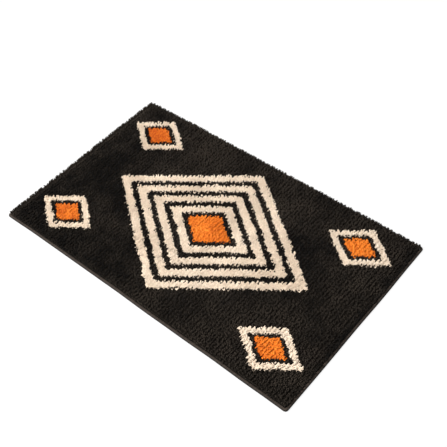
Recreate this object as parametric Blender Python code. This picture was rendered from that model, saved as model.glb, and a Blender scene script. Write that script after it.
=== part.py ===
"""A flat tufted doormat: one cloth with a cut pile, and an overlocked yarn edge sewn all round it.

X runs along the mat, Y across it and Z up. The origin is on the ground, under the middle of the mat.
"""

import math
import random

import bmesh
import bpy
from mathutils import Matrix, Vector, noise

# The whole mat, over its sewn edge
LENGTH = 0.750
WIDTH = 0.450
CORNER_RADIUS = 0.0065

# The sewn edge: a round bead of yarn that is flat where it lies on the ground, and thinner in places
BINDING_WIDTH = 0.005
BINDING_HEIGHT = 0.005
BINDING_DOME = 0.0028
DOME_STEPS = 6
BINDING_STEP = 0.025
BINDING_ARC_POINTS = 4
BINDING_THINNEST = 0.93
BINDING_THICKEST = 1.02

# The cloth: its backing and pile together, with the pile's rows running across the mat as low ribs
PILE_HEIGHT = 0.0113
CLOTH_GAP = 0.0003
CLOTH_INSET = BINDING_WIDTH + CLOTH_GAP
CLOTH_CORNER_RADIUS = CORNER_RADIUS - CLOTH_INSET
PILE_ROWS = 100
CELLS_ALONG = 2 * PILE_ROWS
CELLS_ACROSS = 12
ROW_RELIEF = 0.0008
TUFT_UNEVEN = 0.0003
LUMPS = (
    {"height": 0.0008, "length": 0.045},
    {"height": 0.0004, "length": 0.020},
)

# The locks of pile at the rim of the cloth, two outline points to each: a row's end on the long sides
SHORT_SIDE_CUTS = 9
LOCK_TIP = (0.0006, 0.0016)
LOCK_VALLEY = (-0.0007, -0.0002)
LOCK_UNEVEN = 0.0006

# Rings down the side of the cloth: how far inside its wall, how high, and how much the locks show there
RIM_RINGS = (
    {"inside": 0.0013, "height": 0.0103, "lock": 0.8},
    {"inside": 0.0000, "height": 0.0083, "lock": 1.0},
    {"inside": 0.0000, "height": 0.0060, "lock": 0.0},
    {"inside": 0.0000, "height": 0.0000, "lock": 0.0},
)
TOP_INSIDE = 0.0034

SHARP_ANGLE = math.radians(50)
GRID_EDGE = 1.0 - 1e-6
SEED = 11


def linear(red, green, blue):
    """A colour given as 0 to 255 on a screen, as the linear numbers that a shader takes."""
    shares = [value / 255 for value in (red, green, blue)]
    return [s / 12.92 if s <= 0.04045 else ((s + 0.055) / 1.055) ** 2.4 for s in shares] + [1.0]


def clear_scene():
    for obj in list(bpy.data.objects):
        bpy.data.objects.remove(obj)


def new_collection(name):
    collection = bpy.data.collections.new(name)
    bpy.context.scene.collection.children.link(collection)
    return collection


def yarn_material(name, colour, roughness):
    material = bpy.data.materials.new(name)
    material.use_nodes = True
    shader = material.node_tree.nodes["Principled BSDF"]
    shader.inputs["Base Color"].default_value = colour
    shader.inputs["Roughness"].default_value = roughness
    shader.inputs["Metallic"].default_value = 0.0
    return material


def side_lengths(inset, radius):
    """Half of the straight stretches of a rounded rectangle that lies this far inside the mat's edge."""
    return LENGTH / 2 - inset - radius, WIDTH / 2 - inset - radius


def outline_point(side, share, inset, radius):
    """(point, outward direction) on a rounded rectangle.

    Sides 0 to 3 are the near, right, far and left ones, walked anticlockwise seen from above. A side runs
    from the middle of one rounded corner, share 0, to the middle of the next, share 1.
    """
    half_x, half_y = side_lengths(inset, radius)
    half_run, half_depth = (half_x, half_y) if side % 2 == 0 else (half_y, half_x)
    arc = radius * math.pi / 4
    travel = share * 2 * (half_run + arc)
    from_middle = travel - half_run - arc
    beyond = max(abs(from_middle) - half_run, 0.0)
    turn = beyond / radius
    sign = 1.0 if from_middle > 0 else -1.0
    along = sign * (min(abs(from_middle), half_run) + radius * math.sin(turn))
    out = half_depth + radius * math.cos(turn)
    point = Vector((along, -out, 0.0))
    outward = Vector((sign * math.sin(turn), -math.cos(turn), 0.0))
    turned = Matrix.Rotation(side * math.pi / 2, 3, "Z")
    return turned @ point, turned @ outward


def binding_route():
    """Points along the middle of the sewn edge, closer together at the rounded corners."""
    inset = BINDING_WIDTH / 2
    radius = CORNER_RADIUS - inset
    points = []
    for side in range(4):
        half_run = side_lengths(inset, radius)[side % 2]
        arc = radius * math.pi / 4
        total = 2 * (half_run + arc)
        steps = round(2 * half_run / BINDING_STEP)
        travels = [arc * i / BINDING_ARC_POINTS for i in range(BINDING_ARC_POINTS)]
        travels += [arc + 2 * half_run * i / steps for i in range(steps + 1)]
        travels += [total - arc * i / BINDING_ARC_POINTS for i in range(BINDING_ARC_POINTS - 1, 0, -1)]
        points += [outline_point(side, travel / total, inset, radius)[0] for travel in travels]
    return points


def binding_section(guides):
    """The bead's cross-section as a guide curve: a dome that narrows to a flat strip on the ground."""
    centre = BINDING_HEIGHT - BINDING_DOME
    undercut = math.asin(centre / BINDING_DOME)
    dome = [math.pi * i / DOME_STEPS for i in range(DOME_STEPS + 1)]
    angles = [-undercut] + dome + [math.pi + undercut]
    data = bpy.data.curves.new("binding_section", "CURVE")
    data.dimensions = "2D"
    spline = data.splines.new("POLY")
    spline.points.add(len(angles) - 1)
    spline.use_cyclic_u = True
    for point, angle in zip(spline.points, angles):
        across = -BINDING_WIDTH / 2 * math.cos(angle)
        point.co = (across, centre + BINDING_DOME * math.sin(angle), 0.0, 1.0)
    section = bpy.data.objects.new("binding_section", data)
    section.hide_render = True
    section.display_type = "WIRE"
    guides.objects.link(section)
    return section


def make_edge_binding(parts, guides):
    """The sewn edge: the section swept round the mat, a little thinner in places as hand-fed yarn is."""
    uneven = random.Random(SEED)
    route = binding_route()
    data = bpy.data.curves.new("edge_binding", "CURVE")
    data.dimensions = "3D"
    data.twist_mode = "Z_UP"
    spline = data.splines.new("POLY")
    spline.points.add(len(route) - 1)
    spline.use_cyclic_u = True
    for point, place in zip(spline.points, route):
        point.co = (*place, 1.0)
        point.radius = min(uneven.uniform(BINDING_THINNEST, BINDING_THICKEST), 1.0)
    data.bevel_mode = "OBJECT"
    data.bevel_object = binding_section(guides)
    data.materials.append(yarn_material("binding_yarn", linear(70, 63, 56), 0.85))
    binding = bpy.data.objects.new("edge_binding", data)
    parts.objects.link(binding)
    return binding


def pile_top(x, y):
    """Height of the pile's uneven top over a place on the mat."""
    place = Vector((x, y, 0.0))
    return PILE_HEIGHT + sum(lump["height"] * noise.noise(place / lump["length"]) for lump in LUMPS)


def grid_side(u, v):
    """(side, share) of a grid point on the border of the square from -1 to 1, or None inside it."""
    if v < -GRID_EDGE:
        return 0, (u + 1) / 2
    if u > GRID_EDGE:
        return 1, (v + 1) / 2
    if v > GRID_EDGE:
        return 2, (1 - u) / 2
    if u < -GRID_EDGE:
        return 3, (1 - v) / 2
    return None


def place_top(bm):
    """Spreads the square grid over the mat, ribs it, and returns its border points with their places."""
    uneven = random.Random(SEED + 2)
    inset = CLOTH_INSET + TOP_INSIDE
    half_x, half_y = LENGTH / 2 - inset, WIDTH / 2 - inset
    border = {}
    for vert in bm.verts:
        column = round((vert.co.x + 1) / 2 * CELLS_ALONG)
        at = grid_side(vert.co.x, vert.co.y)
        if at is None:
            vert.co = Vector((vert.co.x * half_x, vert.co.y * half_y, 0.0))
        else:
            border[vert] = at
            vert.co = outline_point(*at, inset, CLOTH_CORNER_RADIUS)[0]
        rib = ROW_RELIEF / 2 if column % 2 else -ROW_RELIEF / 2
        vert.co.z = pile_top(vert.co.x, vert.co.y) + rib + uneven.uniform(-TUFT_UNEVEN, TUFT_UNEVEN)
    return border


def lock_shapes(count):
    """For each point round the rim, how far its lock leans out and how much higher it stands."""
    uneven = random.Random(SEED + 1)
    shapes = []
    for i in range(count):
        lean = uneven.uniform(*(LOCK_TIP if i % 2 else LOCK_VALLEY))
        shapes.append((lean, uneven.uniform(-LOCK_UNEVEN, LOCK_UNEVEN)))
    return shapes


def add_rim(bm, border):
    """Extrudes the border of the top out and down to the ground, one ring at a time, and closes it below."""
    order = sorted(border, key=lambda vert: border[vert])
    details = {vert: (border[vert], shape) for vert, shape in zip(order, lock_shapes(len(order)))}
    edges = [edge for edge in bm.edges if edge.is_boundary]
    for ring in RIM_RINGS:
        placed = {tuple(vert.co): detail for vert, detail in details.items()}
        made = bmesh.ops.extrude_edge_only(bm, edges=edges)["geom"]
        edges = [item for item in made if isinstance(item, bmesh.types.BMEdge) and item.is_boundary]
        details = {vert: placed[tuple(vert.co)] for vert in made if isinstance(vert, bmesh.types.BMVert)}
        for vert, (at, (lean, lift)) in details.items():
            point, outward = outline_point(*at, CLOTH_INSET + ring["inside"], CLOTH_CORNER_RADIUS)
            vert.co = point + outward * lean * ring["lock"]
            vert.co.z = ring["height"] + lift * ring["lock"]
    bmesh.ops.contextual_create(bm, geom=edges)


def make_pile_cloth(parts):
    """The cloth: a grid over the mat for the pile's top, a rim of locks round it and a flat underside."""
    bm = bmesh.new()
    bmesh.ops.create_grid(bm, x_segments=CELLS_ALONG, y_segments=CELLS_ACROSS, size=1.0)
    short_sides = [edge for edge in bm.edges if edge.is_boundary and edge.verts[0].co.x == edge.verts[1].co.x]
    bmesh.ops.subdivide_edges(bm, edges=short_sides, cuts=SHORT_SIDE_CUTS)
    add_rim(bm, place_top(bm))
    bmesh.ops.recalc_face_normals(bm, faces=bm.faces)
    mesh = bpy.data.meshes.new("pile_cloth")
    bm.to_mesh(mesh)
    bm.free()
    mesh.shade_smooth()
    mesh.set_sharp_from_angle(angle=SHARP_ANGLE)
    mesh.materials.append(yarn_material("pile_yarn", linear(35, 31, 28), 0.95))
    cloth = bpy.data.objects.new("pile_cloth", mesh)
    parts.objects.link(cloth)
    return cloth


def make_doormat():
    clear_scene()
    parts = new_collection("doormat")
    guides = new_collection("guides")
    make_edge_binding(parts, guides)
    make_pile_cloth(parts)


make_doormat()
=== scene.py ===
import math

import bmesh
import bpy
import numpy as np
from mathutils import Matrix, Quaternion, Vector, noise


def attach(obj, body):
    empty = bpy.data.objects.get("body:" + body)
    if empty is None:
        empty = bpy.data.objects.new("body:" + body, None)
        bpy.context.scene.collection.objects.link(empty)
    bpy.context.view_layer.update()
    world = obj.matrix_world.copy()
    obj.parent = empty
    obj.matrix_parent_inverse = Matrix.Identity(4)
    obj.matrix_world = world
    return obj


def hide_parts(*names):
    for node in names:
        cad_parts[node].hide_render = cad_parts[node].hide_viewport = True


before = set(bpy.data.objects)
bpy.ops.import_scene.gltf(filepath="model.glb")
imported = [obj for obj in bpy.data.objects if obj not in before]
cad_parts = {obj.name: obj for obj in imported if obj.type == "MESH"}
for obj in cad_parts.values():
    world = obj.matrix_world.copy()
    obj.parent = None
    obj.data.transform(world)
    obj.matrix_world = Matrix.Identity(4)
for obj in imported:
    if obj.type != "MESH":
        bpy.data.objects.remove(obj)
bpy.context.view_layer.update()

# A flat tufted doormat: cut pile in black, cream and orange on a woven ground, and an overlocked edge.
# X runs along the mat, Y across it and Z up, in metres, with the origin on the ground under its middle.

SEED = 23

# The whole mat, and the cloth inside its sewn edge
LENGTH = 0.750
WIDTH = 0.450
CORNER_RADIUS = 0.0065
CLOTH_INSET = 0.0053
CLOTH_CORNER_RADIUS = CORNER_RADIUS - CLOTH_INSET
HALF_CLOTH_X = LENGTH / 2 - CLOTH_INSET
HALF_CLOTH_Y = WIDTH / 2 - CLOTH_INSET

# How the mat lies a little out of true: a slight wander all over, and corners that are pulled out or in.
# Here and below, a layer is a number that picks one pattern of the smooth noise.
WANDER = {"far": 0.0005, "length": 0.080, "layers": (12.4, 15.8)}
CORNER_PULLS = (
    {"corner": (-1, -1), "pull": (-0.0018, -0.0024)},
    {"corner": (-1, 1), "pull": (0.0016, -0.0012)},
    {"corner": (1, -1), "pull": (-0.0010, -0.0004)},
    {"corner": (1, 1), "pull": (-0.0004, -0.0006)},
)
CORNER_REACH = 0.070

# What brings Blender's smooth noise to a range from about -1 to 1
NOISE_SWING = 1.6

# Rows of tufts run across the mat, with the stitches along each row
ROWS = 100
STITCHES = 104
ROW_INSET = 0.0018
STITCH_INSET = 0.0014
FIRST_ROW = HALF_CLOTH_X - ROW_INSET
FIRST_STITCH = HALF_CLOTH_Y - STITCH_INSET
ROW_PITCH = 2 * FIRST_ROW / (ROWS - 1)
STITCH_PITCH = 2 * FIRST_STITCH / (STITCHES - 1)

# The pile's uneven top: the CAD part's lumps, with the tips a hair higher than its ribbed slab
PILE_HEIGHT = 0.0115
LUMPS = (
    {"height": 0.0008, "length": 0.045},
    {"height": 0.0004, "length": 0.020},
)

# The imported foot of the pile, which the tufts stand in: ribbed by the rows, with the backing below it
GROUND_VALLEY = 0.0068
GROUND_RIDGE = 0.0080
GROUND_INSET = 0.0062
UNDERSIDE_LIMIT = 0.001

# A tuft: two cut yarn ends that come up from one stitch, and strands in them that open out at the top.
# The strands stand round their end by the golden angle. Each is thickest at its shoulder, and bends over more
# the nearer it is to its tip.
STRANDS = 7
STRAND_BEND = 1.6
STRAND_ROOT_Z = 0.0042
ROOT_INSET = 0.0008
STRAND_THICKNESS = (0.00080, 0.00115)
STRAND_UNEVEN = 0.0005
STRAND_FOOT = 0.6
STRAND_SHOULDER = 0.80
ROOT_SPREAD = 0.40
ENDS_APART = 0.00175
END_TURN = 0.70
END_STRAY = 0.0006
END_UNEVEN = 0.0006
BLOOM = 0.00135
BLOOM_UNEVEN = 0.0003
BLOOM_TURN = math.pi * (3 - math.sqrt(5))
TUFT_DOME = 0.0006
TUFT_STRAY_X = 0.00075
TUFT_STRAY_Y = 0.0004
PHASE_STRAY = 0.2

# How the pile leans: all over, in patches as brushed by a hand, along each row and tuft by tuft.
# The rows lie so many lengths apart in the noise that each one sways in its own way.
NAP_LEAN = Vector((0.0004, 0.0022))
NAP_PATCHES = (
    {"lean": 0.0012, "length": 0.070, "layers": (3.1, 7.7)},
    {"lean": 0.0009, "length": 0.018, "layers": (4.1, 8.7)},
)
ROW_SWAY = {"lean": 0.0011, "length": 0.030, "layer": 9.2, "rows_apart": 7.3}
TUFT_LEAN = 0.0008

# At the rim the tufts lean outwards, or inwards where the lean is negative, and open out along the edge
RIM_WIDTH = 0.008
RIM_LEAN = {"left": 0.0078, "right": -0.0010, "far": 0.0072, "near": 0.0010}
RIM_UNEVEN = 0.0006
RIM_SPLAY = 0.9

# How far over the mat's edge the tips may lean, where a negative reach ends inside it, and the highest that
# they stand, apart from the stray ones
TIP_REACH = (-0.0025, -0.0016)
TIP_LIMIT = 0.0126

# A few stray strands are thinner, stand higher than they would and lean their own way
STRAY_SHARE = 0.004
STRAY_RISE = 0.0014
STRAY_LEAN = 0.0030
STRAY_THICKNESS = 0.5

# How light the yarn is between its dark and its light colour: by tuft, end and strand, at the rim, in
# patches. At the rim this is painted light on the left, far and near sides and painted shade on the right.
TUFT_SHADES = 0.05
END_SHADES = 0.08
STRAND_SHADES = {"black": 0.10, "cream": 0.30, "orange": 0.30}
# The width of the rim band, and the painted light (left, far, near) or painted shade (right) on each side
RIM_PAINTED_LIGHT_BAND = 0.016
RIM_PAINTED_LIGHT_AND_SHADE = {"left": 0.46, "right": -0.26, "far": 0.18, "near": 0.10}
SHADE_PATCHES = (
    {"amount": 0.28, "length": 0.280, "layer": 16.4},
    {"amount": 0.34, "length": 0.090, "layer": 1.3},
    {"amount": 0.22, "length": 0.030, "layer": 5.9},
    {"amount": 0.12, "length": 0.013, "layer": 8.3},
)
SHADE_LIMITS = (0.03, 0.97)

# The yarns, in the order of their numbers in the pattern, and how many pieces the black pile comes in
YARNS = ("black", "cream", "orange")
BLACK, CREAM, ORANGE = range(len(YARNS))
BLACK_PIECES = 4

# The pattern: nested lozenges in the middle of the mat and a small one in each corner. Hearts and bands are
# given by how far out from the middle of their lozenge they end, and the shifts make their edges ragged.
MIDDLE_LOZENGE = (0.262, 0.190)
MIDDLE_HEART = 0.034
MIDDLE_BANDS = ((0.045, 0.062), (0.0745, 0.0915), (0.104, 0.121), (0.1335, 0.1505))
CORNER_PLACE = (0.275, 0.145)
CORNER_HEART = 0.022
CORNER_BANDS = ((0.031, 0.044),)
ROW_SHIFT = 0.0006
TUFT_SHIFT = 0.0004

# The sewn edge: wraps of yarn, side by side, round a bead that is flattened above a certain height
BEAD_INSET = 0.0028
BEAD_WIDTH = 0.0064
BEAD_HEIGHT = 0.0054
BEAD_RISE = 0.0032
BEAD_MIDDLE = BEAD_HEIGHT - BEAD_RISE
BEAD_FLAT = 0.0046
BEAD_FLATTENED = 0.3
BEAD_SIDES = 12
ROUTE_STEP = 0.0012
WRAPS = 1030
WRAP_GROOVE = 0.90
WRAP_SLANT = math.radians(14)
MERGE_DISTANCE = 0.00005

# The wraps' map: a strip across for each shade, with a margin at its sides, and the way round the bead going
# up, in whole turns from the side that faces the cloth
WRAP_SHADES = 24
WRAP_MARGIN = 0.04
ROUND_START = 0.45
ROUND_SHARE = 0.8

# The photograph's camera, for a square picture
EYE = (0.7483, -0.7038, 1.2288)
AIM = (0.0115, 0.0367, 0.0)
ROLL = math.radians(-6.166)
LENS = 62.13
SENSOR_WIDTH = 36

# One broad soft lamp from the left and the front, and an even white surround
KEY_PLACE = (-1.1, -1.7, 2.4)
KEY_SIZE = 1.4
KEY_POWER = 163
SURROUND_LIGHT = 0.68

# A pale floor, a hair below the mat, that also glows a little, so that it stays white beside the mat
FLOOR_SIZE = 30
FLOOR_DROP = 0.0004
FLOOR_PAINT = 0.10
FLOOR_GLOW = 0.88

# The name of every piece's map, and the border that the ground leaves free on its own
MAP = "OFBake"
MAP_BORDER = 0.02


def rounded(places, inset, radius):
    """Draws places that lie outside a rounded rectangle back on to it. It lies inset from the mat's edge."""
    limit = np.array((LENGTH / 2, WIDTH / 2)) - inset
    held = np.clip(places, -limit, limit)
    middle = limit - radius
    beyond = np.maximum(np.abs(held) - middle, 0.0)
    far = np.hypot(beyond[:, 0], beyond[:, 1])
    outside = (far > radius) & (beyond.min(axis=1) > 0)
    scale = np.where(outside, radius / np.maximum(far, 1e-9), 1.0)
    on_arc = np.sign(held) * (middle + beyond * scale[:, None])
    return np.where(outside[:, None], on_arc, held)


def out_of_true(x, y):
    """How far each place on the laid mat lies from where a true rectangle has it."""
    strays = [smooth_noise(x, y, WANDER["length"], layer) for layer in WANDER["layers"]]
    stray_x, stray_y = (WANDER["far"] * stray for stray in strays)
    for row in CORNER_PULLS:
        corner, pull = row["corner"], row["pull"]
        away = np.hypot(x - corner[0] * LENGTH / 2, y - corner[1] * WIDTH / 2)
        share = np.exp(-((away / CORNER_REACH) ** 2))
        stray_x += pull[0] * share
        stray_y += pull[1] * share
    return np.stack((stray_x, stray_y), axis=-1)


def lozenge(x, y):
    """How far out a place lies on the nested lozenges, measured square to their sides."""
    long_half, wide_half = MIDDLE_LOZENGE
    scale = long_half * wide_half / math.hypot(long_half, wide_half)
    return (np.abs(x) / long_half + np.abs(y) / wide_half) * scale


def yarn_at(x, y):
    """Which yarn the pattern has at each place."""
    yarn = np.full(x.shape, BLACK)
    middle = lozenge(x, y)
    corner = lozenge(np.abs(x) - CORNER_PLACE[0], np.abs(y) - CORNER_PLACE[1])
    for out, bands, heart in ((middle, MIDDLE_BANDS, MIDDLE_HEART), (corner, CORNER_BANDS, CORNER_HEART)):
        for inner, outer in bands:
            yarn[(out > inner) & (out < outer)] = CREAM
        yarn[out < heart] = ORANGE
    return yarn


def lay_out_tufts(chance):
    """The place, the shift into the pattern and the yarn of every tuft, as arrays by row and stitch."""
    row = np.arange(ROWS)[:, None]
    stitch = np.arange(STITCHES)[None, :]
    phase = chance.uniform(-PHASE_STRAY, PHASE_STRAY, (ROWS, 1)) * STITCH_PITCH
    size = (ROWS, STITCHES)
    x = -FIRST_ROW + row * ROW_PITCH + chance.normal(0, TUFT_STRAY_X, size)
    y = -FIRST_STITCH + stitch * STITCH_PITCH + phase + chance.normal(0, TUFT_STRAY_Y, size)
    shift = chance.uniform(-ROW_SHIFT, ROW_SHIFT, (ROWS, 1)) + chance.normal(0, TUFT_SHIFT, size)
    return {"x": x, "y": y, "shift": shift, "yarn": yarn_at(x + shift, y + shift)}


def smooth_noise(x, y, length, layer):
    """Smooth chance values from about -1 to 1 over the mat, which change over the given length."""
    values = [noise.noise(Vector((a / length, b / length, layer))) for a, b in zip(x.flat, y.flat)]
    return np.array(values).reshape(x.shape) * NOISE_SWING


def deselect():
    """Leaves edit mode, with nothing selected."""
    if bpy.context.object is not None and bpy.context.object.mode != "OBJECT":
        bpy.ops.object.mode_set(mode="OBJECT")
    bpy.ops.object.select_all(action="DESELECT")


def choose(piece, kind, test):
    """In edit mode, selects the vertices, edges or faces that pass a test, and nothing else."""
    bpy.ops.mesh.select_mode(type=kind)
    bpy.ops.mesh.select_all(action="DESELECT")
    shape = bmesh.from_edit_mesh(piece.data)
    elements = {"VERT": shape.verts, "EDGE": shape.edges, "FACE": shape.faces}[kind]
    for element in elements:
        if test(element):
            element.select_set(True)
    shape.select_flush_mode()
    bmesh.update_edit_mesh(piece.data)


def take_primitive(name):
    """Names the primitive just added and opens it for editing."""
    piece = bpy.context.object
    piece.name = name
    piece.data.name = name
    bpy.ops.object.mode_set(mode="EDIT")
    return piece


class Shades:
    """A number that changes over a surface. It can be used in sums, which add Math nodes."""

    def __init__(self, recipe, socket):
        self.recipe = recipe
        self.socket = socket

    def sum(self, operation, first, second):
        return self.recipe.node("ShaderNodeMath", {"operation": operation}, {0: first, 1: second})

    def __add__(self, other):
        return self.sum("ADD", self, other)

    __radd__ = __add__

    def __sub__(self, other):
        return self.sum("SUBTRACT", self, other)

    def __rsub__(self, other):
        return self.sum("SUBTRACT", other, self)

    def __mul__(self, other):
        return self.sum("MULTIPLY", self, other)

    __rmul__ = __mul__

    def __truediv__(self, other):
        return self.sum("DIVIDE", self, other)

    def at_most(self, other):
        return self.sum("MINIMUM", self, other)

    def at_least(self, other):
        return self.sum("MAXIMUM", self, other)

    def fraction(self):
        return self.recipe.node("ShaderNodeMath", {"operation": "FRACT"}, {0: self})

    def wave(self):
        return self.recipe.node("ShaderNodeMath", {"operation": "SINE"}, {0: self})


class Recipe:
    """A material and the nodes that feed its shader."""

    def __init__(self, name, sheen=0.0, sheen_roughness=0.5, specular=0.5):
        self.material = bpy.data.materials.new(name)
        self.material.use_nodes = True
        self.tree = self.material.node_tree
        self.shader = self.tree.nodes["Principled BSDF"]
        self.shader.inputs["Metallic"].default_value = 0.0
        self.shader.inputs["Specular IOR Level"].default_value = specular
        self.shader.inputs["Sheen Weight"].default_value = sheen
        self.shader.inputs["Sheen Roughness"].default_value = sheen_roughness

    def node(self, kind, settings, inputs, output=0):
        """Adds one node: its settings first, then the values or links of its sockets."""
        made = self.tree.nodes.new(kind)
        for setting, value in settings.items():
            setattr(made, setting, value)
        for name, value in inputs.items():
            self.plug(made.inputs[name], value)
        return Shades(self, made.outputs[output])

    def plug(self, socket, value):
        if isinstance(value, Shades):
            self.tree.links.new(value.socket, socket)
        else:
            socket.default_value = value

    def first_two(self, whole):
        """The first two of a vector's three numbers."""
        split = self.tree.nodes.new("ShaderNodeSeparateXYZ")
        self.plug(split.inputs[0], whole)
        return Shades(self, split.outputs[0]), Shades(self, split.outputs[1])

    def map_places(self):
        """The two numbers of the piece's own map."""
        return self.first_two(self.node("ShaderNodeUVMap", {"uv_map": MAP}, {}))

    def object_place(self):
        """A place on the piece, as a vector."""
        return self.node("ShaderNodeTexCoord", {}, {}, output="Object")

    def place(self, x, y):
        return self.node("ShaderNodeCombineXYZ", {}, {0: x, 1: y})

    def noise(self, place, scale, detail=2.0):
        inputs = {"Vector": place, "Scale": scale, "Detail": detail}
        return self.node("ShaderNodeTexNoise", {"noise_dimensions": "3D"}, inputs)

    def mix(self, share, first, second):
        """Goes from the first colour to the second as share goes from 0 to 1."""
        settings = {"data_type": "RGBA", "blend_type": "MIX"}
        return self.node("ShaderNodeMix", settings, {0: share, 6: first, 7: second}, output=2)

    def shaded(self, colour, strength):
        """A colour made darker where the strength is under 1, and lighter where it is over 1."""
        settings = {"operation": "SCALE"}
        return self.node("ShaderNodeVectorMath", settings, {0: colour, "Scale": strength})

    def finish(self, colour, roughness, height=None, depth=None, strength=1.0):
        """Feeds the shader, with a bump of the given depth where there is a height, and ends the material."""
        self.plug(self.shader.inputs["Base Color"], colour)
        self.plug(self.shader.inputs["Roughness"], roughness)
        if height is not None:
            inputs = {"Strength": strength, "Distance": depth, "Height": height}
            self.plug(self.shader.inputs["Normal"], self.node("ShaderNodeBump", {}, inputs))
        return self.material


# The pile's yarns: their darkest and lightest colour, how bright the painted shade at the root leaves them,
# how far their shading is softened, and their sheen and gloss
TUFT_COLOURS = {
    "black": {"dark": (0.0010, 0.0008, 0.0006, 1), "light": (0.0368, 0.0286, 0.0214, 1), "root": 0.34},
    "cream": {"dark": (0.60, 0.462, 0.334, 1), "light": (0.83, 0.697, 0.551, 1), "root": 0.90},
    "orange": {"dark": (0.45, 0.066, 0.0024, 1), "light": (0.86, 0.241, 0.0246, 1), "root": 0.88},
}
TUFT_SOFTNESS = {"black": 0.0, "cream": 0.92, "orange": 0.80}
TUFT_SHEEN = {"black": 0.02, "cream": 0.10, "orange": 0.04}
TUFT_GLOSS = {"black": 0.06, "cream": 0.25, "orange": 0.15}
# The share of a strand's height above which there is no painted shade
TUFT_PAINTED_SHADE_TOP = 0.85

# Fibres are noise that is stretched along the yarn by these two scales, and grain is noise of one scale
STRAND_FIBRES = (420, 5)
STRAND_FIBRE_SHADES = 0.35
EDGE_FIBRES = (300, 14)
PACKED_GRAIN = 900.0
BACKING_GRAIN = 1400.0

# The backing's threads, and the colours of the backing and of the edge's yarn, dark and light
THREAD_PITCH = 0.0032
BACKING_COLOURS = ((0.014, 0.012, 0.011, 1), (0.052, 0.046, 0.040, 1))
EDGE_COLOURS = ((0.026, 0.0192, 0.0145, 1), (0.056, 0.0425, 0.0335, 1))

# Painted shade on the edge: darker in the grooves between its wraps, and on its outer flank from a place on
# the way round. Painted light makes the rest of the bead lighter.
GROOVE_PAINTED_SHADE = 0.45
FLANK_PAINTED_SHADE_FROM = 0.66
FLANK_PAINTED_SHADE_STEEPNESS = 12
BEAD_PAINTED_LIGHT = 1.16
FLANK_PAINTED_SHADE = 0.74


def tuft_yarn(yarn):
    """Cut yarn. On its map, across is the strand's shade and up is its height from root to tip."""
    colours = TUFT_COLOURS[yarn]
    looks = {"sheen": TUFT_SHEEN[yarn], "specular": TUFT_GLOSS[yarn]}
    recipe = Recipe(f"{yarn}_pile_yarn", sheen_roughness=0.6, **looks)
    shade, height = recipe.map_places()
    fibres = recipe.noise(recipe.place(shade * STRAND_FIBRES[0], height * STRAND_FIBRES[1]), 1.0)
    streaked = (shade + (fibres - 0.5) * STRAND_FIBRE_SHADES).at_most(1.0).at_least(0.0)
    tone = recipe.mix(streaked, colours["dark"], colours["light"])
    # Painted shade: the strand is darker towards its root, up to a set share of its height
    painted_shade_and_light = colours["root"] + (1 - colours["root"]) * (height / TUFT_PAINTED_SHADE_TOP).at_most(1.0)
    roughness = 0.9 - fibres * 0.15
    return recipe.finish(recipe.shaded(tone, painted_shade_and_light), roughness, fibres, depth=0.00012, strength=0.5)


def packed_yarn(yarn):
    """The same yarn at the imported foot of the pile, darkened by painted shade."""
    colours = TUFT_COLOURS[yarn]
    recipe = Recipe(f"{yarn}_packed_yarn", specular=TUFT_GLOSS[yarn])
    grain = recipe.noise(recipe.object_place(), PACKED_GRAIN, detail=3.0)
    tone = recipe.mix(grain, colours["dark"], colours["light"])
    # Painted shade at the foot, lifted a little where the grain is light
    painted_shade_and_light = colours["root"] + 0.1 * grain
    return recipe.finish(recipe.shaded(tone, painted_shade_and_light), 0.95, grain, depth=0.0004, strength=0.8)


def backing_cloth():
    """The woven cloth that the pile is sewn through, seen from below: two sets of flat threads."""
    recipe = Recipe("backing_cloth", specular=0.3)
    place = recipe.object_place()
    x, y = recipe.first_two(place)
    across = (x * (2 * math.pi / THREAD_PITCH)).wave() * 0.5 + 0.5
    along = (y * (2 * math.pi / THREAD_PITCH)).wave() * 0.5 + 0.5
    over = across * along + (1 - across) * (1 - along)
    grain = recipe.noise(place, BACKING_GRAIN, detail=3.0)
    tone = recipe.mix(over * 0.7 + grain * 0.3, *BACKING_COLOURS)
    height = over + grain * 0.3
    return recipe.finish(tone, 0.85 - over * 0.1, height, depth=0.0004, strength=0.9)


def edge_yarn():
    """The edge's yarn. Across its map lies a strip for each shade, a wrap wide, and up is the way round."""
    recipe = Recipe("edge_yarn", sheen=0.03, sheen_roughness=0.4, specular=0.15)
    across, around = recipe.map_places()
    cell = across * WRAP_SHADES
    inside = cell.fraction()
    shade = (cell - inside) / WRAP_SHADES
    # Painted shade in the grooves: this is 1 in the middle of a wrap and 0 at its sides
    painted_groove_mask = inside * (1 - inside) * 4
    fibres = recipe.noise(recipe.place(across * EDGE_FIBRES[0], around * EDGE_FIBRES[1]), 1.0)
    tone = recipe.mix(shade * 0.7 + fibres * 0.3, *EDGE_COLOURS)
    # Painted shade on the outer flank, and painted light over the rest of the bead
    painted_flank_mask = ((around - FLANK_PAINTED_SHADE_FROM) * FLANK_PAINTED_SHADE_STEEPNESS).at_least(0.0).at_most(1.0)
    painted_shade_and_light = (1 - GROOVE_PAINTED_SHADE + GROOVE_PAINTED_SHADE * painted_groove_mask) * (BEAD_PAINTED_LIGHT - FLANK_PAINTED_SHADE * painted_flank_mask)
    return recipe.finish(recipe.shaded(tone, painted_shade_and_light), 0.72 - 0.1 * fibres, fibres, depth=0.0002)


def make_materials():
    """Every material, by the piece's part that has it."""
    finishes = {f"tuft_{yarn}": tuft_yarn(yarn) for yarn in YARNS}
    finishes.update({f"packed_{yarn}": packed_yarn(yarn) for yarn in YARNS})
    finishes["backing"] = backing_cloth()
    finishes["edge"] = edge_yarn()
    return finishes


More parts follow.
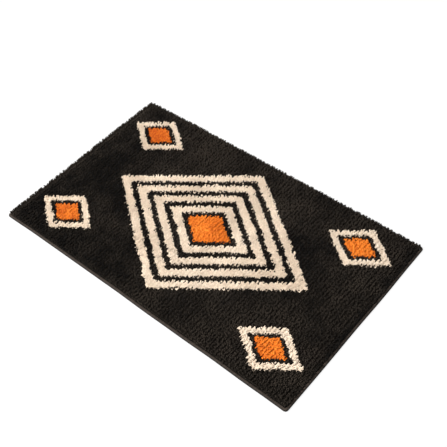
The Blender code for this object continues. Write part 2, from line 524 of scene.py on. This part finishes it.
def model_strand():
    """One strand of a tuft, one high: three-sided, thickest over its middle and pointed on top."""
    deselect()
    bpy.ops.mesh.primitive_cone_add(vertices=3, radius1=STRAND_FOOT, radius2=0, depth=1, location=(0, 0, 0.5))
    bpy.ops.object.transform_apply(location=True, rotation=True, scale=True)
    strand = take_primitive("strand")
    bpy.ops.mesh.select_all(action="SELECT")
    shoulder = (0, 0, STRAND_SHOULDER)
    bpy.ops.mesh.bisect(plane_co=shoulder, plane_no=(0, 0, 1))
    choose(strand, "VERT", lambda vert: abs(vert.co.z - STRAND_SHOULDER) < 0.1)
    swell = 1 / (STRAND_FOOT * (1 - STRAND_SHOULDER))
    bpy.ops.transform.resize(value=(swell, swell, 1), center_override=shoulder)
    bpy.ops.object.mode_set(mode="OBJECT")
    return strand


def strand_map(strand):
    """Where each corner of the strand's faces lies on the map: round the strand, and up it."""
    foot_width, foot_height = 0.008, 0.02
    side_width = 0.012
    corners = []
    for face in strand.data.polygons:
        points = [strand.data.vertices[i].co for i in face.vertices]
        if max(point.z for point in points) < 0.01:
            corners += [(foot_width * (i - 1), foot_height * (i == 1)) for i in range(len(points))]
            continue
        middle = math.atan2(face.center.y, face.center.x)
        for point in points:
            turn = math.atan2(point.y, point.x) - middle
            turn = (turn + math.pi) % (2 * math.pi) - math.pi
            on_axis = math.hypot(point.x, point.y) < 1e-4
            corners.append((0.0 if on_axis else side_width * turn / (math.pi / 3), point.z))
    return np.array(corners)


def soften(mesh, softness):
    """Turns the normals that the shading uses part of the way up, since light passes through pale fibres."""
    normals = np.empty(len(mesh.vertices) * 3)
    mesh.vertex_normals.foreach_get("vector", normals)
    normals = normals.reshape(-1, 3) * (1 - softness) + np.array((0, 0, softness))
    normals /= np.linalg.norm(normals, axis=1)[:, None]
    mesh.normals_split_custom_set_from_vertices(normals)


def join_strands(name, strand, corners, places, softness):
    """One mesh that holds a copy of the strand for each place, bent from its root to its tip."""
    template = np.array([vert.co for vert in strand.data.vertices])
    faces = [tuple(face.vertices) for face in strand.data.polygons]
    root, tip = places["root"], places["tip"]
    count, points = len(root), len(template)
    rise = template[:, 2]
    bend = rise ** STRAND_BEND
    sine, cosine = np.sin(places["turn"])[:, None], np.cos(places["turn"])[:, None]
    thick = places["thickness"][:, None]
    across = template[None, :, 0] * cosine - template[None, :, 1] * sine
    along = template[None, :, 0] * sine + template[None, :, 1] * cosine
    co = np.empty((count, points, 3))
    co[:, :, 0] = root[:, None, 0] + (tip - root)[:, None, 0] * bend + across * thick
    co[:, :, 1] = root[:, None, 1] + (tip - root)[:, None, 1] * bend + along * thick
    co[:, :, 2] = root[:, None, 2] + (tip - root)[:, None, 2] * rise
    sizes = np.array([len(face) for face in faces])
    corner_verts = np.concatenate([np.array(face) for face in faces])
    corner_count = len(corner_verts)
    mesh = bpy.data.meshes.new(name)
    mesh.vertices.add(count * points)
    mesh.vertices.foreach_set("co", co.ravel())
    mesh.loops.add(count * corner_count)
    every = (np.arange(count) * points)[:, None] + corner_verts[None, :]
    mesh.loops.foreach_set("vertex_index", every.ravel().astype(np.int32))
    starts = np.concatenate(([0], np.cumsum(sizes)[:-1]))
    every_start = (np.arange(count) * corner_count)[:, None] + starts[None, :]
    mesh.polygons.add(count * len(faces))
    mesh.polygons.foreach_set("loop_start", every_start.ravel().astype(np.int32))
    mesh.update(calc_edges=True)
    on_map = np.empty((count, corner_count, 2))
    on_map[:, :, 0] = places["shade"][:, None] + corners[None, :, 0]
    on_map[:, :, 1] = corners[None, :, 1]
    layer = mesh.uv_layers.new(name=MAP)
    layer.data.foreach_set("uv", on_map.ravel())
    mesh.validate()
    mesh.shade_smooth()
    soften(mesh, softness)
    piece = bpy.data.objects.new(name, mesh)
    bpy.context.scene.collection.objects.link(piece)
    return piece


def pile_top(x, y):
    """Height of the pile's uneven top over each place."""
    top = np.full(x.shape, PILE_HEIGHT)
    for lump in LUMPS:
        values = [noise.noise(Vector((a, b, 0.0)) / lump["length"]) for a, b in zip(x.flat, y.flat)]
        top += lump["height"] * np.array(values).reshape(x.shape)
    return top


def nap(x, y):
    """How far the pile's tips lean at each place, along and across the mat."""
    lean_x = np.full(x.shape, NAP_LEAN.x)
    lean_y = np.full(x.shape, NAP_LEAN.y)
    for patch in NAP_PATCHES:
        for lean, layer in zip((lean_x, lean_y), patch["layers"]):
            lean += patch["lean"] * smooth_noise(x, y, patch["length"], layer)
    return lean_x, lean_y


def rim_nearness(x, y, width):
    """How near each place is to the short sides and to the long ones: 0 at the given width, 1 at the rim."""
    to_short = np.clip(1 - (HALF_CLOTH_X - np.abs(x)) / width, 0, 1)
    to_long = np.clip(1 - (HALF_CLOTH_Y - np.abs(y)) / width, 0, 1)
    return to_short, to_long


def by_side(x, y, values):
    """The nearer short side's value and the nearer long side's value for each place."""
    return np.where(x > 0, values["right"], values["left"]), np.where(y > 0, values["far"], values["near"])


def tuft_shades(x, y, chance):
    """How light each tuft is, from 0 to 1: by chance, in patches over the mat, and by painted light and shade
    at its rim.
    """
    shade = 0.5 + chance.normal(0, TUFT_SHADES, x.shape)
    for patch in SHADE_PATCHES:
        shade += patch["amount"] * smooth_noise(x, y, patch["length"], patch["layer"])
    # Painted light on the left, far and near rims and painted shade on the right rim, fading inwards
    for nearness, side_painted_light in zip(rim_nearness(x, y, RIM_PAINTED_LIGHT_BAND), by_side(x, y, RIM_PAINTED_LIGHT_AND_SHADE)):
        shade += nearness * side_painted_light
    return shade


def open_tufts(tufts, chance):
    """The strands of every tuft: where each one starts and ends, its thickness, turn, shade and yarn."""
    x, y = tufts["x"].ravel(), tufts["y"].ravel()
    lean_x, lean_y = nap(x, y)
    lean_x += chance.normal(0, TUFT_LEAN, x.shape)
    lean_y += chance.normal(0, TUFT_LEAN, x.shape)
    top = pile_top(x, y)
    rim_x, rim_y = (nearness ** 2 for nearness in rim_nearness(x, y, RIM_WIDTH))
    out_x, out_y = by_side(x, y, RIM_LEAN)
    out_x = out_x + chance.normal(0, RIM_UNEVEN, x.shape)
    out_y = out_y + chance.normal(0, RIM_UNEVEN, x.shape)
    lean_x = lean_x * (1 - rim_x) + out_x * rim_x * np.sign(x)
    lean_y = lean_y * (1 - rim_y) + out_y * rim_y * np.sign(y)
    sway_place = np.repeat(np.arange(ROWS), STITCHES) * ROW_SWAY["length"] * ROW_SWAY["rows_apart"]
    lean_x += ROW_SWAY["lean"] * smooth_noise(sway_place, y, ROW_SWAY["length"], ROW_SWAY["layer"])
    tuft_shade = tuft_shades(x, y, chance)
    count = len(x) * STRANDS
    which = np.repeat(np.arange(len(x)), STRANDS)
    number = np.tile(np.arange(STRANDS), len(x))
    end = number % 2
    end_turn = chance.normal(0, END_TURN, x.shape)[which] + end * math.pi
    end_stray = chance.normal(0, END_STRAY, (len(x), 2, 2))[which, end]
    end_middle = ENDS_APART * np.stack((np.cos(end_turn), np.sin(end_turn)), axis=1) + end_stray
    end_rise = chance.normal(0, END_UNEVEN, (len(x), 2))[which, end]
    out = np.sqrt((number // 2 + 0.5) / (STRANDS / 2))
    turn = chance.uniform(0, 2 * math.pi, (len(x), 2))[which, end] + number // 2 * BLOOM_TURN
    spread = BLOOM * out[:, None] * np.stack((np.cos(turn), np.sin(turn)), axis=1)
    spread *= 1 + RIM_SPLAY * np.stack((rim_y, rim_x), axis=1)[which]
    middle = np.stack((x, y), axis=1)[which]
    lean = np.stack((lean_x, lean_y), axis=1)[which]
    root = np.empty((count, 3))
    at_root = middle + (end_middle + spread) * ROOT_SPREAD
    root[:, :2] = rounded(at_root, GROUND_INSET + ROOT_INSET, CLOTH_CORNER_RADIUS)
    root[:, 2] = STRAND_ROOT_Z
    tip = np.empty((count, 3))
    tip[:, :2] = middle + end_middle + spread + lean + chance.normal(0, BLOOM_UNEVEN, (count, 2))
    tip[:, 2] = top[which] + end_rise + chance.uniform(-1, 1, count) * STRAND_UNEVEN - TUFT_DOME * out ** 2
    tip[:, 2] = np.minimum(tip[:, 2], TIP_LIMIT)
    stray = chance.uniform(0, 1, count) < STRAY_SHARE
    tip[stray, 2] += STRAY_RISE
    tip[stray, :2] += chance.normal(0, STRAY_LEAN, (stray.sum(), 2))
    reach = chance.uniform(*TIP_REACH, (len(x), 2))[which, end]
    tip[:, :2] = rounded(tip[:, :2], -reach[:, None], CORNER_RADIUS)
    end_shade = chance.normal(0, END_SHADES, (len(x), 2))[which, end]
    moved = out_of_true(x, y)[which]
    root[:, :2] += moved
    tip[:, :2] += moved
    yarn = yarn_at(*(middle + end_middle + tufts["shift"].ravel()[which][:, None]).T)
    strand_shade = np.array([STRAND_SHADES[name] for name in YARNS])[yarn] * chance.normal(0, 1, count)
    shade = tuft_shade[which] + end_shade + strand_shade
    thinner = np.where(stray, STRAY_THICKNESS, 1.0)
    return {
        "root": root,
        "tip": tip,
        "thickness": chance.uniform(*STRAND_THICKNESS, count) * thinner,
        "turn": chance.uniform(0, 2 * math.pi, count),
        "shade": np.clip(shade, *SHADE_LIMITS),
        "yarn": yarn,
        "row": which // STITCHES,
    }


def make_tufts(tufts, finishes, chance):
    """The cut pile: one mesh for each colour, but the black in several, by the rows."""
    strand = model_strand()
    corners = strand_map(strand)
    strands = open_tufts(tufts, chance)
    blocks = [
        ("tufts_cream", "cream", strands["yarn"] == CREAM),
        ("tufts_orange", "orange", strands["yarn"] == ORANGE),
    ]
    for part in range(BLACK_PIECES):
        inside = (strands["row"] * BLACK_PIECES // ROWS == part) & (strands["yarn"] == BLACK)
        blocks.append((f"tufts_black_{part + 1}", "black", inside))
    pieces = []
    for name, yarn, chosen in blocks:
        places = {key: value[chosen] for key, value in strands.items()}
        piece = join_strands(name, strand, corners, places, TUFT_SOFTNESS[yarn])
        piece.data.materials.append(finishes[f"tuft_{yarn}"])
        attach(piece, "root")
        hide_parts("pile_cloth")
        pieces.append(piece)
    bpy.data.objects.remove(strand)
    return pieces


def make_ground(tufts, finishes):
    """The ground of the mat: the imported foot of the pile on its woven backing, one closed slab."""
    deselect()
    bpy.ops.mesh.primitive_grid_add(x_subdivisions=2 * ROWS, y_subdivisions=STITCHES, size=2)
    ground = take_primitive("ground_cloth")
    bpy.ops.mesh.select_all(action="SELECT")
    half_row, half_stitch = ROW_PITCH / 2, STITCH_PITCH / 2
    size = (FIRST_ROW + half_row, FIRST_STITCH + half_stitch, 1)
    bpy.ops.transform.resize(value=size, center_override=(0, 0, 0))
    bpy.ops.transform.translate(value=(0, 0, GROUND_VALLEY))
    choose(ground, "VERT", lambda vert: round((vert.co.x + FIRST_ROW) / half_row) % 2 == 0)
    bpy.ops.transform.translate(value=(0, 0, GROUND_RIDGE - GROUND_VALLEY))
    choose(ground, "EDGE", lambda edge: edge.is_boundary)
    bpy.ops.mesh.extrude_region_move()
    bpy.ops.transform.resize(value=(1, 1, 0), center_override=(0, 0, 0))
    bpy.ops.mesh.edge_face_add()
    bpy.ops.mesh.select_all(action="SELECT")
    bpy.ops.mesh.normals_make_consistent(inside=False)
    bpy.ops.object.mode_set(mode="OBJECT")
    round_corners(ground)
    colour_ground(ground, tufts["yarn"], finishes)
    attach(ground, "root")
    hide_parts("pile_cloth")
    return ground


def round_corners(ground):
    """Rounds the ground at its corners, and lays it as far out of true as the pile on it."""
    co = np.empty(len(ground.data.vertices) * 3)
    ground.data.vertices.foreach_get("co", co)
    co = co.reshape(-1, 3)
    co[:, :2] = rounded(co[:, :2], GROUND_INSET, CLOTH_CORNER_RADIUS)
    co[:, :2] += out_of_true(co[:, 0], co[:, 1])
    ground.data.vertices.foreach_set("co", co.ravel())
    ground.data.update()


def colour_ground(ground, yarn, finishes):
    """Gives each face of the top its tuft's yarn, and the underside its backing, on a flat map of both."""
    for name in YARNS:
        ground.data.materials.append(finishes[f"packed_{name}"])
    ground.data.materials.append(finishes["backing"])
    layer = ground.data.uv_layers.active or ground.data.uv_layers.new()
    layer.name = MAP
    steep = 0.1
    top_middle, underside_middle = 0.25, 0.75
    for face in ground.data.polygons:
        below = face.center.z < UNDERSIDE_LIMIT
        if below:
            face.material_index = len(YARNS)
        elif abs(face.normal.z) > steep:
            row = max(round((face.center.x + FIRST_ROW) / ROW_PITCH), 0)
            stitch = max(round((face.center.y + FIRST_STITCH) / STITCH_PITCH), 0)
            face.material_index = int(yarn[min(row, ROWS - 1), min(stitch, STITCHES - 1)])
        for corner in face.loop_indices:
            point = ground.data.vertices[ground.data.loops[corner].vertex_index].co
            wall_foot = point.z < UNDERSIDE_LIMIT and not below
            size = (1 - 2 * MAP_BORDER) * (1 + MAP_BORDER if wall_foot else 1)
            middle = underside_middle if below else top_middle
            layer.data[corner].uv = (0.5 + point.x / LENGTH * size, middle + point.y / WIDTH * size / 2)
    ground.data.shade_smooth()


def bead_route(step):
    """Points along the middle of the sewn edge, evenly spaced, from the middle of the far side."""
    radius = CORNER_RADIUS - BEAD_INSET
    half_x, half_y = LENGTH / 2 - CORNER_RADIUS, WIDTH / 2 - CORNER_RADIUS
    arc = radius * math.pi / 2
    total = 4 * (half_x + half_y + arc)
    count = round(total / step)
    points = []
    for i in range(count):
        travel = total * i / count + half_x
        for side in range(4):
            half_run, half_depth = (half_x, half_y) if side % 2 == 0 else (half_y, half_x)
            turned = Matrix.Rotation(side * math.pi / 2, 3, "Z")
            if travel <= 2 * half_run:
                point = Vector((half_run - travel, half_depth + radius, 0))
                break
            travel -= 2 * half_run
            if travel <= arc:
                turn = travel / radius
                point = Vector((-half_run - radius * math.sin(turn), half_depth + radius * math.cos(turn), 0))
                break
            travel -= arc
        else:
            turned = Matrix.Identity(3)
            point = Vector((half_x - travel, half_y + radius, 0))
        points.append(turned @ point)
    x, y = np.array([point[:2] for point in points]).T
    return [point + Vector((*moved, 0)) for point, moved in zip(points, out_of_true(x, y))]


def make_route():
    """The way round the mat as a closed curve, with its length."""
    points = bead_route(ROUTE_STEP)
    data = bpy.data.curves.new("bead_route", "CURVE")
    data.dimensions = "3D"
    data.twist_mode = "Z_UP"
    spline = data.splines.new("POLY")
    spline.points.add(len(points) - 1)
    for place, point in zip(points, spline.points):
        point.co = (*place, 1)
    spline.use_cyclic_u = True
    route = bpy.data.objects.new("bead_route", data)
    bpy.context.scene.collection.objects.link(route)
    length = sum((a - b).length for a, b in zip(points, points[1:] + points[:1]))
    return route, length


def model_wrap(pitch):
    """One wrap of yarn over the edge: a short length of the bead, thinner at its ends and slanted."""
    deselect()
    bpy.ops.mesh.primitive_cylinder_add(
        vertices=BEAD_SIDES, radius=1, depth=pitch, end_fill_type="NOTHING", rotation=(0, math.pi / 2, 0)
    )
    bpy.ops.object.transform_apply(location=True, rotation=True, scale=True)
    wrap = take_primitive("edge_wraps")
    bpy.ops.mesh.select_all(action="SELECT")
    bpy.ops.transform.resize(value=(1, BEAD_WIDTH / 2, BEAD_RISE), center_override=(0, 0, 0))
    bpy.ops.transform.translate(value=(0, 0, BEAD_MIDDLE))
    bpy.ops.mesh.bisect(plane_co=(-pitch / 6, 0, 0), plane_no=(1, 0, 0))
    bpy.ops.mesh.select_all(action="SELECT")
    bpy.ops.mesh.bisect(plane_co=(pitch / 6, 0, 0), plane_no=(1, 0, 0))
    choose(wrap, "VERT", lambda vert: abs(vert.co.x) > pitch / 3)
    bpy.ops.transform.resize(value=(1, WRAP_GROOVE, WRAP_GROOVE), center_override=(0, 0, BEAD_MIDDLE))
    choose(wrap, "VERT", lambda vert: vert.co.z < 0)
    bpy.ops.transform.resize(value=(1, 1, 0), center_override=(0, 0, 0))
    choose(wrap, "VERT", lambda vert: vert.co.z > BEAD_FLAT)
    bpy.ops.transform.resize(value=(1, 1, BEAD_FLATTENED), center_override=(0, 0, BEAD_FLAT))
    bpy.ops.object.mode_set(mode="OBJECT")
    for vert in wrap.data.vertices:
        vert.co.x += math.tan(WRAP_SLANT) * vert.co.y
    return wrap


def map_wraps(wrap, faces_in_one, corners, chance):
    """Gives each wrap one of the shades on the map."""
    layer = wrap.data.uv_layers.active or wrap.data.uv_layers.new()
    layer.name = MAP
    shades = chance.integers(0, WRAP_SHADES, WRAPS)
    for face in wrap.data.polygons:
        number, part = divmod(face.index, faces_in_one)
        for corner, (inside, around) in zip(face.loop_indices, corners[part]):
            layer.data[corner].uv = ((shades[number % WRAPS] + inside) / WRAP_SHADES, around)


def wrap_corners(wrap, pitch):
    """For each face of one wrap, where its corners lie on the map: across its strip, and the way round."""
    found = []
    for face in wrap.data.polygons:
        points = [wrap.data.vertices[i].co for i in face.vertices]
        unslanted = [point.x - math.tan(WRAP_SLANT) * point.y for point in points]
        turns = [math.atan2(point.z - BEAD_MIDDLE, point.y) / (2 * math.pi) for point in points]
        if max(turns) - min(turns) > 0.5:
            turns = [turn + 1 if turn < 0 else turn for turn in turns]
        across = [WRAP_MARGIN + (1 - 2 * WRAP_MARGIN) * (x / pitch + 0.5) for x in unslanted]
        around = [ROUND_START + ROUND_SHARE * turn for turn in turns]
        found.append(list(zip(across, around)))
    return found


def make_edge(finishes, chance):
    """The sewn edge: wraps laid side by side and led round the mat."""
    route, length = make_route()
    pitch = length / WRAPS
    wrap = model_wrap(pitch)
    faces_in_one = len(wrap.data.polygons)
    corners = wrap_corners(wrap, pitch)
    for vert in wrap.data.vertices:
        vert.co.x += pitch / 2
    row = wrap.modifiers.new("row", "ARRAY")
    row.fit_type = "FIXED_COUNT"
    row.count = WRAPS
    row.use_relative_offset = False
    row.use_constant_offset = True
    row.constant_offset_displace = (pitch, 0, 0)
    row.use_merge_vertices = True
    row.merge_threshold = MERGE_DISTANCE
    lead = wrap.modifiers.new("lead", "CURVE")
    lead.object = route
    lead.deform_axis = "POS_X"
    bpy.ops.object.modifier_apply(modifier="row")
    bpy.ops.object.modifier_apply(modifier="lead")
    map_wraps(wrap, faces_in_one, corners, chance)
    bpy.ops.object.mode_set(mode="EDIT")
    bpy.ops.mesh.select_all(action="SELECT")
    bpy.ops.mesh.remove_doubles(threshold=MERGE_DISTANCE)
    bpy.ops.mesh.normals_make_consistent(inside=False)
    bpy.ops.object.mode_set(mode="OBJECT")
    bpy.data.objects.remove(route)
    wrap.data.shade_smooth()
    wrap.data.materials.append(finishes["edge"])
    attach(wrap, "root")
    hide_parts("edge_binding")
    return wrap


def make_floor():
    """A plain pale floor, a hair below the mat."""
    deselect()
    bpy.ops.mesh.primitive_plane_add(size=FLOOR_SIZE, location=(0, 0, 0))
    floor = take_primitive("floor")
    bpy.ops.mesh.select_all(action="SELECT")
    bpy.ops.transform.translate(value=(0, 0, -FLOOR_DROP))
    bpy.ops.object.mode_set(mode="OBJECT")
    recipe = Recipe("floor_paint", specular=0.1)
    recipe.shader.inputs["Emission Color"].default_value = (1, 1, 1, 1)
    recipe.shader.inputs["Emission Strength"].default_value = FLOOR_GLOW
    floor.data.materials.append(recipe.finish((FLOOR_PAINT, FLOOR_PAINT, FLOOR_PAINT, 1), 0.9))


def light_studio():
    """One broad soft lamp, aimed at the middle of the mat, and an even white surround."""
    data = bpy.data.lights.new("key", "AREA")
    data.shape = "DISK"
    data.size = KEY_SIZE
    data.energy = KEY_POWER
    key = bpy.data.objects.new("key", data)
    key.location = KEY_PLACE
    key.rotation_euler = (-Vector(KEY_PLACE)).to_track_quat("-Z", "Y").to_euler()
    bpy.context.scene.collection.objects.link(key)
    world = bpy.data.worlds.new("surround")
    world.use_nodes = True
    background = world.node_tree.nodes["Background"]
    background.inputs["Color"].default_value = (1, 1, 1, 1)
    background.inputs["Strength"].default_value = SURROUND_LIGHT
    bpy.context.scene.world = world
    bpy.context.scene.view_settings.view_transform = "Standard"
    bpy.context.scene.view_settings.look = "None"


def set_camera():
    """The photograph's view of the mat."""
    data = bpy.data.cameras.new("camera")
    data.lens = LENS
    data.sensor_width = SENSOR_WIDTH
    camera = bpy.data.objects.new("camera", data)
    camera.location = EYE
    aimed = (Vector(AIM) - Vector(EYE)).to_track_quat("-Z", "Y")
    camera.rotation_euler = (aimed @ Quaternion((0, 0, 1), ROLL)).to_euler()
    bpy.context.scene.collection.objects.link(camera)
    bpy.context.scene.camera = camera


def dress():
    """Sets the stage and makes the mat on it. The random draws come in this order."""
    chance = np.random.default_rng(SEED)
    set_camera()
    light_studio()
    make_floor()
    finishes = make_materials()
    tufts = lay_out_tufts(chance)
    pile = make_tufts(tufts, finishes, chance)
    ground = make_ground(tufts, finishes)
    edge = make_edge(finishes, chance)


dress()
